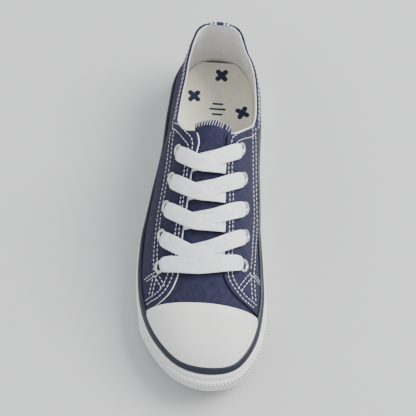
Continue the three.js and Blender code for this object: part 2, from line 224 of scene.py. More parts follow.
def lay_on(piece, points):
    """Moves a primitive's vertices to the points and gives it a map in real size."""
    rows, columns = points.shape[:2]
    piece.data.vertices.foreach_set("co", (points * MM).astype(np.float32).ravel())
    across = np.linalg.norm(np.diff(points, axis=1), axis=2).mean(0)
    along_row = np.concatenate([[0], np.cumsum(across)])
    up = np.linalg.norm(np.diff(points, axis=0), axis=2)
    up_column = np.concatenate([np.zeros((1, columns)), np.cumsum(up, axis=0)])
    spot = np.stack([np.broadcast_to(along_row, (rows, columns)), up_column], -1).reshape(-1, 2) * MM
    corner = np.empty(len(piece.data.loops), np.int32)
    piece.data.loops.foreach_get("vertex_index", corner)
    layer = piece.data.uv_layers.active or piece.data.uv_layers.new(name="UVMap")
    layer.data.foreach_set("uv", spot[corner].astype(np.float32).ravel())
    piece.data.update()


def finish(piece, kind, **settings):
    """Adds a modifier to the piece and applies it."""
    bpy.ops.object.select_all(action="DESELECT")
    piece.select_set(True)
    bpy.context.view_layer.objects.active = piece
    modifier = piece.modifiers.new(kind.title(), kind)
    for name, value in settings.items():
        setattr(modifier, name, value)
    bpy.ops.object.modifier_apply(modifier=modifier.name)


def skin(name, points, wall=0.0, round_over=1, merge=False):
    """A skin through a grid of points (rows, columns, 3), with its wall inside and soft edges."""
    rows, columns = points.shape[:2]
    bpy.ops.object.select_all(action="DESELECT")
    bpy.ops.mesh.primitive_grid_add(x_subdivisions=columns - 1, y_subdivisions=rows - 1, size=0.1)
    piece = bpy.context.object
    piece.name = piece.data.name = name
    lay_on(piece, points)
    if merge:
        points = points.copy()
        points[-1] = (points[-1] + points[-1, ::-1]) / 2
        lay_on(piece, points)
        bpy.ops.object.mode_set(mode="EDIT")
        bpy.ops.mesh.select_all(action="SELECT")
        bpy.ops.mesh.remove_doubles(threshold=0.02 * MM)
        bpy.ops.mesh.normals_make_consistent(inside=False)
        bpy.ops.object.mode_set(mode="OBJECT")
    if wall:
        finish(piece, "SOLIDIFY", thickness=wall * MM, offset=-1)
    if round_over:
        finish(piece, "SUBSURF", levels=round_over, render_levels=round_over)
    bpy.ops.object.shade_smooth()
    return piece


def mount_piece(piece, slot, material, *nodes):
    """Gives the piece its material, and lets it stand for its CAD nodes; slot is not used."""
    piece.data.materials.clear()
    piece.data.materials.append(material)
    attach(piece, "root")
    if nodes:
        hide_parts(*nodes)


def add_node(tree, kind, inputs=None, **settings):
    """A shader node with its settings, and its inputs set to values or linked to sockets."""
    node = tree.nodes.new(kind)
    for name, value in settings.items():
        setattr(node, name, value)
    for name, value in (inputs or {}).items():
        if isinstance(value, bpy.types.NodeSocket):
            tree.links.new(value, node.inputs[name])
        else:
            node.inputs[name].default_value = value
    return node


def math_node(tree, operation, *values):
    return add_node(tree, "ShaderNodeMath", dict(enumerate(values)), operation=operation).outputs[0]


def principled(name, values):
    """A new material, its tree, and its Principled shader with some sockets set."""
    material = bpy.data.materials.new(name)
    material.use_nodes = True
    shader = material.node_tree.nodes["Principled BSDF"]
    for socket, value in values.items():
        shader.inputs[socket].default_value = value
    return material, material.node_tree, shader


def build_weave():
    """Plain weave: yarns cross over and under each other at a pitch, with uneven thickness. Its Shade
    is painted light on the yarn tops and painted shade in the dips between them, plus uneven random
    tone.
    """
    group = bpy.data.node_groups.new("plain weave", "ShaderNodeTree")
    face = group.interface
    face.new_socket("Vector", in_out="INPUT", socket_type="NodeSocketVector")
    face.new_socket("Pitch", in_out="INPUT", socket_type="NodeSocketFloat")
    face.new_socket("Unevenness", in_out="INPUT", socket_type="NodeSocketFloat")
    face.new_socket("Shade", in_out="OUTPUT", socket_type="NodeSocketFloat")
    face.new_socket("Height", in_out="OUTPUT", socket_type="NodeSocketFloat")
    given = group.nodes.new("NodeGroupInput")
    uneven = add_node(group, "ShaderNodeTexNoise", {"Vector": given.outputs["Vector"], "Scale": 260.0,
                                                    "Detail": 2.0})
    split = add_node(group, "ShaderNodeSeparateXYZ", {0: given.outputs["Vector"]})
    yarns = []
    for axis in ("X", "Y"):
        count = math_node(group, "DIVIDE", split.outputs[axis], given.outputs["Pitch"])
        yarns.append(count)
    floors = [math_node(group, "FLOOR", count) for count in yarns]
    odd = math_node(group, "PINGPONG", math_node(group, "ADD", *floors), 1.0)
    domes = [math_node(group, "ABSOLUTE", math_node(group, "SINE",
                                                    math_node(group, "MULTIPLY", count, math.pi)))
             for count in yarns]
    over = add_node(group, "ShaderNodeMix", {0: odd, 2: domes[0], 3: domes[1]}, data_type="FLOAT")
    lift = math_node(group, "MULTIPLY", math_node(group, "SUBTRACT", uneven.outputs["Fac"], 0.5),
                     given.outputs["Unevenness"])
    # Painted light and shade: lighter where a yarn rides on top, darker in the dips between yarns,
    # plus random uneven tone.
    shade = math_node(group, "ADD", math_node(group, "MULTIPLY_ADD", over.outputs[0], 0.4, 0.3), lift)
    result = group.nodes.new("NodeGroupOutput")
    group.links.new(shade, result.inputs["Shade"])
    group.links.new(over.outputs[0], result.inputs["Height"])
    return group


weave = build_weave()


def cloth(name, colour, pitch, unevenness=0.7, contrast=0.5, sheen=0.15, bump=0.12):
    """A woven cloth in one yarn colour, with painted shade between the yarns and painted light on
    their tops, and uneven over broad patches.
    """
    material, tree, shader = principled(name, {
        "Sheen Weight": sheen, "Sheen Roughness": 0.5, "Specular IOR Level": 0.25})
    uv = tree.nodes.new("ShaderNodeUVMap")
    threads = add_node(tree, "ShaderNodeGroup", node_tree=weave)
    tree.links.new(uv.outputs["UV"], threads.inputs["Vector"])
    threads.inputs["Pitch"].default_value = pitch * MM
    threads.inputs["Unevenness"].default_value = unevenness
    place = tree.nodes.new("ShaderNodeTexCoord")
    patches = add_node(tree, "ShaderNodeTexNoise", {"Vector": place.outputs["Object"], "Scale": 38.0,
                                                    "Detail": 4.0})
    dark = tuple(c * (1 - contrast) for c in colour) + (1,)
    light = tuple(min(c * (1 + 0.6 * contrast), 1) for c in colour) + (1,)
    # Painted shade between the yarns and painted light on their tops, taken from the weave's Shade.
    painted_yarn_shade = add_node(tree, "ShaderNodeMix", {0: threads.outputs["Shade"], 6: dark, 7: light},
                    data_type="RGBA")
    faded = add_node(tree, "ShaderNodeMapRange", {0: patches.outputs["Fac"], 1: 0.3, 2: 0.7, 3: 0.9,
                                                  4: 1.08})
    tone = add_node(tree, "ShaderNodeHueSaturation", {"Color": painted_yarn_shade.outputs[2],
                                                      "Value": faded.outputs[0]})
    tree.links.new(tone.outputs["Color"], shader.inputs["Base Color"])
    rough = add_node(tree, "ShaderNodeMapRange", {0: threads.outputs["Shade"], 3: 0.97, 4: 0.84})
    tree.links.new(rough.outputs[0], shader.inputs["Roughness"])
    relief = add_node(tree, "ShaderNodeBump", {"Height": threads.outputs["Height"], "Strength": 0.6,
                                               "Distance": bump * MM})
    tree.links.new(relief.outputs["Normal"], shader.inputs["Normal"])
    return material


LINING_OUT = -0.75
LINING_WALL = 0.9
LINING_FRONT = {"outer": 198.0, "inner": 164.0}  # stations where it is caught in the vamp seam
LINING_COLUMNS = 210
LINING_ROWS = 30
LINING_RISE = 0.5  # it stands up past the collar by this
LINING_HEM = 0.6  # and its top edge leans out to meet the quarters
CREASE_DEPTH = 0.42  # standing creases where it goes round the heel
lining_cotton = cloth("white lining cotton", (0.79, 0.785, 0.755), pitch=0.5, contrast=0.18, sheen=0.1)


def quarter_places(side, front, count):
    """Places along one side, from the heel to a station, in the order of the outline."""
    end = place_at(side, front)
    return np.linspace(0, end, count) if side == "outer" else np.linspace(end, 1, count)


def draw_lining():
    inner = quarter_places("inner", LINING_FRONT["inner"], LINING_COLUMNS // 2) - 1
    outer = quarter_places("outer", LINING_FRONT["outer"], LINING_COLUMNS // 2)
    tops = [
        top_turn("inner", inner, LINING_OUT, LINING_RISE, LINING_SHOWS["inner"]),
        top_turn("outer", outer, LINING_OUT, LINING_RISE, LINING_SHOWS["outer"]),
    ]
    place = np.concatenate([inner, outer[1:]])
    top = np.concatenate([tops[0], tops[1][1:]])
    share = np.linspace(0, 1, LINING_ROWS)[:, None]
    start = low_turn(place, LINING_OUT)
    turn = start + (top - start) * share
    station = LAST_MIDDLE - last(place, turn)[..., 1]
    heel = 1 - smooth_step(np.abs(place), 0.03, 0.12)
    pleat = np.sin(place * 190) + 0.6 * np.sin(place * 337 + 1.1)
    crease = CREASE_DEPTH * heel * pleat * np.sin(np.pi * share**0.8)
    hem = LINING_HEM * smooth_step(share, 0.8, 1) + 0.2 * smooth_step(station, 150, 166)
    return skin("lining", last(place, turn, LINING_OUT - 0.2 * heel + crease + hem), LINING_WALL)


lining = draw_lining()
mount_piece(lining, "sock_cloth", lining_cotton)

# --- Vamp -----------------------------------------------------------------------------------------
# Navy canvas over the toes and instep, under the quarters and the toe cap, lasted round the toe.
# It is one panel; the folded sides meet on the ridge of the last.
CANVAS_BLUE = (0.0235, 0.0235, 0.054)
CANVAS_PITCH = 0.62
navy_canvas = cloth("navy canvas", CANVAS_BLUE, CANVAS_PITCH, contrast=0.62, unevenness=1.0,
                    sheen=0.03, bump=0.18)
VAMP_REAR = 167.0
VAMP_OUT = -0.7
VAMP_WALL = 0.8
VAMP_COLUMNS = 110
VAMP_ROWS = 24


def round_the_toe(rear, count):
    """Places round the toe between the same station on both sides, matched in pairs."""
    swing = np.sin(np.linspace(0, math.pi / 2, count // 2 + 1))
    stations = rear + (outline[toe_step, 1] - rear) * swing
    return np.concatenate([place_at("outer", stations), place_at("inner", stations[-2::-1])])


vamp_places = round_the_toe(VAMP_REAR, VAMP_COLUMNS)
vamp_start = low_turn(vamp_places, VAMP_OUT)
vamp_turns = vamp_start + (1 - vamp_start) * np.linspace(0, 1, VAMP_ROWS)[:, None]
vamp = skin("vamp", last(vamp_places, vamp_turns, VAMP_OUT), VAMP_WALL, merge=True)
mount_piece(vamp, "canvas", navy_canvas)

# --- Quarters -------------------------------------------------------------------------------------
# Two panels of navy canvas, each from the heel to the toe cap. The top edge is turned under along
# the collar and the facing, and the front edge is sewn down over the vamp.
QUARTER_OUT = 0.6
QUARTER_WALL = 1.25
QUARTER_COLUMNS = 160
QUARTER_ROWS = 36
HEM_WIDTH = 7.0  # the turned-under edge stands a little proud
HEM_LIFT = 0.35
SLACK = 0.35  # gentle unevenness of the cloth between its seams


def draw_quarter(side):
    place = quarter_places(side, FACING_END[side], QUARTER_COLUMNS)
    top = top_turn(side, place, QUARTER_OUT)
    share = np.linspace(0, 1, QUARTER_ROWS)[:, None] ** 0.85
    start = low_turn(place, QUARTER_OUT)
    turn = start + (np.maximum(top, start + 0.03) - start) * share
    flat = last(place, turn, QUARTER_OUT)
    below = np.linalg.norm(flat - flat[-1:], axis=2)
    station = LAST_MIDDLE - flat[..., 1]
    hem = HEM_LIFT * (1 - smooth_step(below, HEM_WIDTH - 1, HEM_WIDTH + 1))
    slack = SLACK * np.sin(station / 9.1 + 3.1 * share) * np.sin(station / 23 + 1.4)
    slack = slack * np.sin(np.pi * share) * smooth_step(station, 20, 50)
    return skin(f"quarter_{side}", last(place, turn, QUARTER_OUT + hem + slack), QUARTER_WALL)


quarters = {side: draw_quarter(side) for side in ("outer", "inner")}

# --- Seams ----------------------------------------------------------------------------------------
# Pale cotton thread, sewn in double rows along the facing, the collar, the eyelet rows and the
# fans in front of them. Each row pulls a shallow trough in the canvas.
THREAD_COLOUR = (0.62, 0.63, 0.70)
STITCH_PITCH = 3.0
STITCH_LENGTH = 2.3
STITCH_WIDTH = 0.78
STITCH_STAND = 0.12  # its middle lies this far off the cloth, and its ends dip in
STITCH_DIP = 0.6
PRESS_DEPTH, PRESS_REACH = 0.3, 1.3  # trough along a seam
thread_cotton = cloth("pale sewing thread", THREAD_COLOUR, pitch=0.25, contrast=0.3)


def resample(points, pitch):
    """Points at an even pitch along a line of points."""
    points = np.array(points, float)
    run = np.concatenate([[0], np.cumsum(np.linalg.norm(np.diff(points, axis=0), axis=1))])
    even = np.arange(pitch / 2, run[-1], pitch)
    return np.stack([np.interp(even, run, column) for column in points.T], -1)


cloth_trees = {}


def on_cloth(piece, point):
    """Nearest point of the piece and its outward direction, in millimetres."""
    if piece.name not in cloth_trees:
        corners = [vertex.co.copy() for vertex in piece.data.vertices]
        cloth_trees[piece.name] = BVHTree.FromPolygons(
            corners, [tuple(face.vertices) for face in piece.data.polygons])
    spot, normal, _, _ = cloth_trees[piece.name].find_nearest(Vector(point) * MM)
    return np.array(spot) / MM, np.array(normal)


def over(x, station, out=0.0):
    """Points of the last over a place in plan, for the part ahead of the collar."""
    x, station = np.broadcast_arrays(np.asarray(x, float), np.asarray(station, float))
    ridge_x = (side_x("outer", station) + side_x("inner", station)) / 2
    is_outer = x < ridge_x
    place = np.where(is_outer, place_at("outer", station), place_at("inner", station))
    inwards = np.where(is_outer, 1, -1)
    turn = turn_where(place, lambda point: (point[..., 0] - x) * inwards > 0, out)
    return last(place, turn, out)


def seam_over(stops):
    """A seam line drawn in plan as (x, station) stops and laid on the last."""
    drawn = curve_through(stops, 240)
    return over(drawn[:, 0], drawn[:, 1], QUARTER_OUT)


def beside_edge(side, distance, first, final):
    """A line at a distance inside the top edge of a quarter, between two stations."""
    place = quarter_places(side, FACING_END[side], 900)
    edge = last(place, top_turn(side, place, QUARTER_OUT), QUARTER_OUT)
    station = LAST_MIDDLE - edge[:, 1]
    keep = (station > first) & (station < final)
    edge = edge[keep]
    way = np.gradient(edge, axis=0)
    line = []
    for point, step in zip(edge[::3], way[::3]):
        _, normal = on_cloth(quarters[side], point + np.array([0, 0, -1.0]))
        inside = np.cross(normal, step)
        inside /= np.linalg.norm(inside)
        if inside[2] > 0 or (abs(inside[2]) < 0.2 and inside[0] * point[0] < 0):
            inside = -inside
        line.append(point + inside * distance)
    line = np.array(line)
    gap = np.linalg.norm(line[:, None] - edge[None], axis=2).min(1)
    line = line[gap > distance - 0.25]
    order = line if side == "outer" else line[::-1]
    return curve_through(order[::6], 400)


def joined_piece(name, points, faces):
    """A piece made of many small closed shapes, selected and active."""
    mesh = bpy.data.meshes.new(name)
    mesh.from_pydata(points.tolist(), [], faces)
    mesh.uv_layers.new(name="UVMap")
    piece = bpy.data.objects.new(name, mesh)
    bpy.context.scene.collection.objects.link(piece)
    bpy.ops.object.select_all(action="DESELECT")
    piece.select_set(True)
    bpy.context.view_layer.objects.active = piece
    return piece


def sewn(name, rows, piece_of):
    """One joined mesh of stitches lying on the cloth along each row of points."""
    bpy.ops.object.select_all(action="DESELECT")
    bpy.ops.mesh.primitive_uv_sphere_add(segments=8, ring_count=6, radius=0.5)
    stitch = bpy.context.object
    shape = np.array([vertex.co for vertex in stitch.data.vertices])[:, [2, 0, 1]]
    shape = shape * [STITCH_LENGTH, STITCH_WIDTH, STITCH_WIDTH] * MM
    shape[:, 2] -= STITCH_DIP * MM * (shape[:, 0] / (STITCH_LENGTH * MM)) ** 2
    faces = [tuple(polygon.vertices) for polygon in stitch.data.polygons]
    bpy.data.objects.remove(stitch)
    points, joined = [], []
    for row, piece in zip(rows, piece_of):
        spots = resample(row, STITCH_PITCH)
        if len(spots) < 2:
            spots = np.stack([row[0] * 0.75 + row[-1] * 0.25, row[0] * 0.25 + row[-1] * 0.75])
        ways = np.gradient(spots, axis=0)
        for spot, way in zip(spots, ways):
            place, normal = on_cloth(piece, spot)
            way = way - normal * np.dot(way, normal)
            way /= np.linalg.norm(way)
            frame_axes = np.stack([way, np.cross(normal, way), normal])
            count = len(points) * len(shape)
            points.append(shape @ frame_axes + (place + normal * STITCH_STAND) * MM)
            joined += [tuple(corner + count for corner in face) for face in faces]
    piece = joined_piece(name, np.concatenate(points), joined)
    bpy.ops.object.shade_smooth()
    mount_piece(piece, "lace_cotton", thread_cotton)


def press_seams(piece, rows):
    """Pulls the cloth in along its rows of stitches."""
    vertices = piece.data.vertices
    tree = KDTree(len(vertices))
    for vertex in vertices:
        tree.insert(vertex.co, vertex.index)
    tree.balance()
    nearest = {}
    for row in rows:
        for spot in resample(row, 0.9) * MM:
            for _, index, gap in tree.find_range(spot, 2.5 * PRESS_REACH * MM):
                nearest[index] = min(gap, nearest.get(index, gap))
    pressed = {
        index: vertices[index].normal * PRESS_DEPTH * MM * math.exp(-((gap / (PRESS_REACH * MM)) ** 2))
        for index, gap in nearest.items()
    }
    for index, way in pressed.items():
        vertices[index].co -= way


FACING_SEAMS = {
    "outer": [
        [(-26, 73.8), (-23.2, 78.6), (-20.3, 84), (-17.4, 88.4), (-14.8, 91.3), (-12.8, 95),
         (-12.3, 99), (-14.2, 112), (-15.6, 130), (-16.9, 149), (-18.2, 166), (-19.8, 180),
         (-24.5, 188.3), (-28.5, 191), (-35.6, 192.6)],
        [(-27.2, 77.5), (-25, 81.5), (-22.5, 86.3), (-19.8, 90.6), (-17.5, 94), (-15.4, 97.6),
         (-14.8, 101), (-16.4, 112), (-17.8, 134.6), (-19.2, 149), (-20.8, 166), (-23.1, 179),
         (-26.6, 185.6), (-30, 188.2), (-36.5, 189.6)],
    ],
    "inner": [
        [(27.6, 70), (25.2, 75.3), (20.8, 81.2), (16.4, 86.2), (13.6, 89.6), (12.7, 93.4), (12.4, 97),
         (12, 109), (14.4, 128.5), (15.6, 150), (16.4, 166), (17.6, 177.9), (24, 185.4), (29.5, 189.4),
         (36.2, 191)],
        [(28.6, 75), (26.4, 79.6), (22, 84.8), (18, 89.4), (15.8, 93), (14.8, 97.6), (14.3, 108),
         (16.6, 127.6), (17.8, 150), (18.8, 166), (20.4, 177.2), (26.6, 183.8), (31, 186.6),
         (37, 188.2)],
    ],
}
COLLAR_SEAM_GAPS = (2.6, 6.4)  # its two rows below the edge
COLLAR_SEAM_START = 12.0
COLLAR_SEAM_END = {"outer": (72.0, 74.0), "inner": (66.0, 71.0)}
EYELET_SEAM = {
    "outer": [(-27.2, 78), (-27.6, 90), (-28, 100), (-29.2, 116), (-31.8, 138), (-32.2, 152),
              (-31.4, 173)],
    "inner": [(26.8, 72), (28.4, 86), (29.8, 100), (31, 112), (32.9, 132), (33.3, 150), (32.8, 168)],
}
FANS = {
    "outer": [[(-31, 175.5), end] for end in ((-37.7, 177), (-33.6, 188.5), (-24.8, 186))],
    "inner": [[(32.8, 169.5), end] for end in ((38.6, 171), (35.4, 186), (25.6, 183))],
}
DOUBLE_ROW = 1.15  # half the distance between the two rows of a double seam


def double_row(stops):
    """Two lines in plan, one on each side of a line of stops."""
    line = curve_through(stops, 60)
    way = np.gradient(line, axis=0)
    aside = np.stack([-way[:, 1], way[:, 0]], -1) / np.linalg.norm(way, axis=1)[:, None]
    return [line + aside * DOUBLE_ROW, line - aside * DOUBLE_ROW]


def seams_of(side):
    rows = [seam_over(stops) for stops in FACING_SEAMS[side]]
    for distance, end in zip(COLLAR_SEAM_GAPS, COLLAR_SEAM_END[side]):
        rows.append(beside_edge(side, distance, COLLAR_SEAM_START, end))
    for stops in [EYELET_SEAM[side]] + FANS[side]:
        rows += [over(line[:, 0], line[:, 1], QUARTER_OUT) for line in double_row(stops)]
    return rows


seam_rows = {side: seams_of(side) for side in quarters}
for side, quarter in quarters.items():
    press_seams(quarter, seam_rows[side])
    mount_piece(quarter, "canvas", navy_canvas, *(["upper"] if side == "outer" else []))
sewn("stitches_quarters", seam_rows["outer"] + seam_rows["inner"],
     [quarters["outer"]] * len(seam_rows["outer"]) + [quarters["inner"]] * len(seam_rows["inner"]))

# --- Backstay -------------------------------------------------------------------------------------
# A strip of the same canvas over the seam at the heel, folded over the collar's edge and sewn down
# with a double row on each side.
BACKSTAY_HALF = 7.6
BACKSTAY_OUT = 1.5
BACKSTAY_WALL = 0.9
BACKSTAY_TOP = 75.0
BACKSTAY_SEAMS = (-6.2, -3.4, 3.4, 6.2)
perimeter = np.linalg.norm(np.diff(outline, axis=0), axis=1).sum()


def draw_backstay():
    place = np.linspace(-BACKSTAY_HALF, BACKSTAY_HALF, 22) / perimeter
    top = turn_where(place, lambda point: point[..., 2] > BACKSTAY_TOP, BACKSTAY_OUT)
    share = np.linspace(0, 1, 40)[:, None]
    start = low_turn(place, BACKSTAY_OUT)
    wall = last(place, start + (top - start) * share, BACKSTAY_OUT)
    fold = [wall[-1] + np.array(step) for step in ([0, -0.8, 0.9], [0, -2.0, 1.1], [0, -3.1, 0.7])]
    return skin("backstay", np.concatenate([wall, fold]), BACKSTAY_WALL)


backstay = draw_backstay()
mount_piece(backstay, "canvas", navy_canvas)


def backstay_rows():
    rows = []
    for x in BACKSTAY_SEAMS:
        turns = np.linspace(0.04, 0.46, 90)
        rows.append(last(np.full(90, x / perimeter), turns, BACKSTAY_OUT))
        crown = rows[-1][-1]
        fold = np.linspace(0, 1, 12)[:, None]
        rows.append(crown + [0, 0.4, 1.2] + fold * [0, -4.6, 0.4])
    return rows


back_rows = backstay_rows()
press_seams(backstay, back_rows)
sewn("stitches_backstay", back_rows, [backstay] * len(back_rows))

# --- Tongue ---------------------------------------------------------------------------------------
# Two layers of navy canvas sewn to the vamp, lying under the facings. Its top edge is cut in a
# shallow arc and overcast with thick pale thread that slants over the edge.
TONGUE_OUT = -1.9
TONGUE_WALL = 1.9
TONGUE_REAR, TONGUE_FRONT = 83.0, 172.0
TONGUE_HALF = [(80, 12.6), (90, 12.2), (100, 13), (122, 17), (150, 19.5), (176, 21)]
TONGUE_MIDDLE = 0.2
TONGUE_ARC = 0.6  # its top edge curves towards the toe by this at the corners
TONGUE_COLUMNS = 34
TONGUE_ROWS = 64
TONGUE_LIFT = 1.2  # its free end stands off the foot
TONGUE_FOLD = 1.1  # depth of the long fold near its inner edge


def draw_tongue():
    aside = np.linspace(-1, 1, TONGUE_COLUMNS)[None, :]
    rear = TONGUE_REAR + TONGUE_ARC * aside**2
    share = np.linspace(0, 1, TONGUE_ROWS)[:, None]
    station = TONGUE_FRONT + (rear - TONGUE_FRONT) * share
    x = TONGUE_MIDDLE + aside * along(TONGUE_HALF, station)
    fold = -TONGUE_FOLD * np.exp(-(((x - 7.2) / 1.3) ** 2)) * smooth_step(station, 112, 96)
    free = TONGUE_LIFT * (1 - smooth_step(station, 84, 104))
    ripple = 0.3 * np.sin(station / 6.5) * np.sin(x / 7 + 0.6)
    points = over(x, station, TONGUE_OUT)
    points[..., 2] += fold + free + ripple
    return skin("tongue_cloth", points, TONGUE_WALL)


tongue = draw_tongue()
mount_piece(tongue, "canvas", navy_canvas, "tongue")

WHIP_COUNT = 13
WHIP_REACH = 4.4
WHIP_THICK = 0.66
WHIP_SLANT = 1.5
WHIP_HALF = 12.6
WHIP_CORNERS = 6


def draw_whipping():
    """Slanted overcast threads across the top edge of the tongue, as one joined mesh."""
    points, joined, ring = [], [], WHIP_CORNERS
    for index in range(WHIP_COUNT):
        aside = -0.94 + 1.88 * index / (WHIP_COUNT - 1)
        rear = TONGUE_REAR + TONGUE_ARC * aside**2
        x = TONGUE_MIDDLE + aside * WHIP_HALF
        path = []
        shares = np.linspace(0, 1, 9)
        route = over(x + WHIP_SLANT * (shares - 0.5), rear + WHIP_REACH * (1 - shares), TONGUE_OUT + 3)
        for t, above in zip(shares, route):
            spot, normal = on_cloth(tongue, above)
            path.append(spot + normal * (0.12 + 0.35 * math.sin(math.pi * min(t, 0.8))))
        path.append(path[-1] + np.array([0.1, 0.45, -0.5]))
        path.append(path[-1] + np.array([0.0, 0.1, -1.2]))
        path = curve_through(path, 12)
        ways = np.gradient(path, axis=0)
        start = len(points)
        for step, (spot, way) in enumerate(zip(path, ways)):
            way = way / np.linalg.norm(way)
            aside_axis = np.cross(way, [0, 0, 1.0])
            aside_axis /= np.linalg.norm(aside_axis)
            rise = np.cross(aside_axis, way)
            thick = WHIP_THICK / 2 * (0.25 if step in (0, len(path) - 1) else 1)
            for corner in range(ring):
                angle = 2 * math.pi * corner / ring
                points.append(spot + thick * (math.cos(angle) * aside_axis + math.sin(angle) * rise))
        for step in range(len(path) - 1):
            for corner in range(ring):
                a = start + step * ring + corner
                b = start + step * ring + (corner + 1) % ring
                joined.append((a, b, b + ring, a + ring))
        joined.append(tuple(start + corner for corner in range(ring))[::-1])
        joined.append(tuple(start + (len(path) - 1) * ring + corner for corner in range(ring)))
    piece = joined_piece("tongue_whipping", np.array(points) * MM, joined)
    bpy.ops.object.mode_set(mode="EDIT")
    bpy.ops.mesh.select_all(action="SELECT")
    bpy.ops.mesh.normals_make_consistent(inside=False)
    bpy.ops.object.mode_set(mode="OBJECT")
    finish(piece, "SUBSURF", levels=1, render_levels=1)
    bpy.ops.object.shade_smooth()
    return piece


mount_piece(draw_whipping(), "lace_cotton", thread_cotton)

# --- Insole ---------------------------------------------------------------------------------------
# A cushioned sock of cream twill lying on the sole, cupped a little at its edge. Three rounded
# crosses and three short bars are printed on its heel in navy.
INSOLE_OUT = -2.1
INSOLE_TOP = 3.8  # above the sole
INSOLE_CUP = 1.6
INSOLE_ROWS = 90
INSOLE_COLUMNS = 40
INSOLE_WALL = 3.4
CROSSES = [((2.1, 13.6), 0.0), ((-16.2, 30.6), 4.0), ((18.6, 41.2), 20.0)]
CROSS_ARM = 4.7
CROSS_HALF = 1.8
BARS = [((0.9, 35.5), 3.6), ((0.9, 39.5), 5.6), ((0.9, 43.5), 3.6)]
BAR_HALF = 0.75
INSOLE_CREAM = (0.82, 0.775, 0.66)
PRINT_NAVY = (0.022, 0.03, 0.06)


def print_mask(tree):
    """1 on the printed crosses and bars, worked out from the distance to each stroke."""
    place = tree.nodes.new("ShaderNodeTexCoord")
    strokes = []
    for (x, station), turned in CROSSES:
        for angle in (45, 135):
            strokes.append((x, station, angle + turned, CROSS_ARM, CROSS_HALF))
    for (x, station), half in BARS:
        strokes.append((x, station, 0.0, half, BAR_HALF))
    covered = None
    for x, station, angle, half, width in strokes:
        spot = add_node(tree, "ShaderNodeMapping", {
            "Vector": place.outputs["Object"],
            "Location": (x * MM, (LAST_MIDDLE - station) * MM, 0),
            "Rotation": (0, 0, math.radians(angle)),
        }, vector_type="TEXTURE")
        split = add_node(tree, "ShaderNodeSeparateXYZ", {0: spot.outputs["Vector"]})
        beyond = math_node(tree, "SUBTRACT", math_node(tree, "ABSOLUTE", split.outputs["X"]),
                           (half - width * 0.6) * MM)
        beyond = math_node(tree, "MAXIMUM", beyond, 0.0)
        across = math_node(tree, "ABSOLUTE", split.outputs["Y"])
        gap = math_node(tree, "SQRT", math_node(
            tree, "ADD", math_node(tree, "POWER", beyond, 2.0), math_node(tree, "POWER", across, 2.0)))
        inked = add_node(tree, "ShaderNodeMapRange", {
            0: gap, 1: (width - 0.15) * MM, 2: (width + 0.15) * MM, 3: 1.0, 4: 0.0}).outputs[0]
        covered = inked if covered is None else math_node(tree, "MAXIMUM", covered, inked)
    return covered


def insole_material():
    material = cloth("cream twill", INSOLE_CREAM, pitch=0.55, contrast=0.16, sheen=0.1)
    tree = material.node_tree
    shader = tree.nodes["Principled BSDF"]
    colour = shader.inputs["Base Color"].links[0].from_socket
    inked = add_node(tree, "ShaderNodeMix", {0: print_mask(tree), 6: colour, 7: PRINT_NAVY + (1,)},
                     data_type="RGBA")
    tree.links.new(inked.outputs[2], shader.inputs["Base Color"])
    return material


def draw_insole():
    swing = (1 - np.cos(np.linspace(0, math.pi, INSOLE_ROWS))) / 2
    station = (-INSOLE_OUT + 0.1 + (LAST_LENGTH - 0.2 + 2 * INSOLE_OUT) * swing)[::-1, None]
    edge = {side: last(place_at(side, station), 0.0, INSOLE_OUT) for side in ("outer", "inner")}
    aside = np.sin(np.linspace(-math.pi / 2, math.pi / 2, INSOLE_COLUMNS))[None, :, None]
    points = edge["outer"] * (1 - aside) / 2 + edge["inner"] * (1 + aside) / 2
    to_edge = 1 - aside[..., 0] ** 2
    from_heel = 1 - smooth_step(np.abs(station - LAST_LENGTH / 2), 95, 117)
    points[..., 2] += INSOLE_TOP + INSOLE_CUP * (1 - to_edge**0.5 * from_heel)
    return skin("insole_sock", points, INSOLE_WALL)


insole = draw_insole()
mount_piece(insole, "sock_cloth", insole_material(), "insole")

# --- Foxing ---------------------------------------------------------------------------------------
# White rubber strip wrapped round the sole and the lower edge of the upper, then cured in place.
# A fine moulded line runs round it just under the top edge and another above the floor.
SOLE_BOTTOM = [
    (-20, 2.2), (0, 1.6), (9, 0), (22, 0), (72, 0), (84, 0.9), (101, 2), (118, 0.9), (130, 0),
    (150, 0), (180, 0), (194, 1), (208, 3), (222, 6), (234, 9.4), (260, 17),
]
FOXING_TOP = [
    (-20, 27), (60, 25), (120, 24), (180, 24.5), (194, 25.5), (208, 27.5), (222, 30), (234, 32),
    (260, 36),
]
FOXING_OUT = 3.3
FOXING_INSIDE = 0.3
RING_STEPS = 256


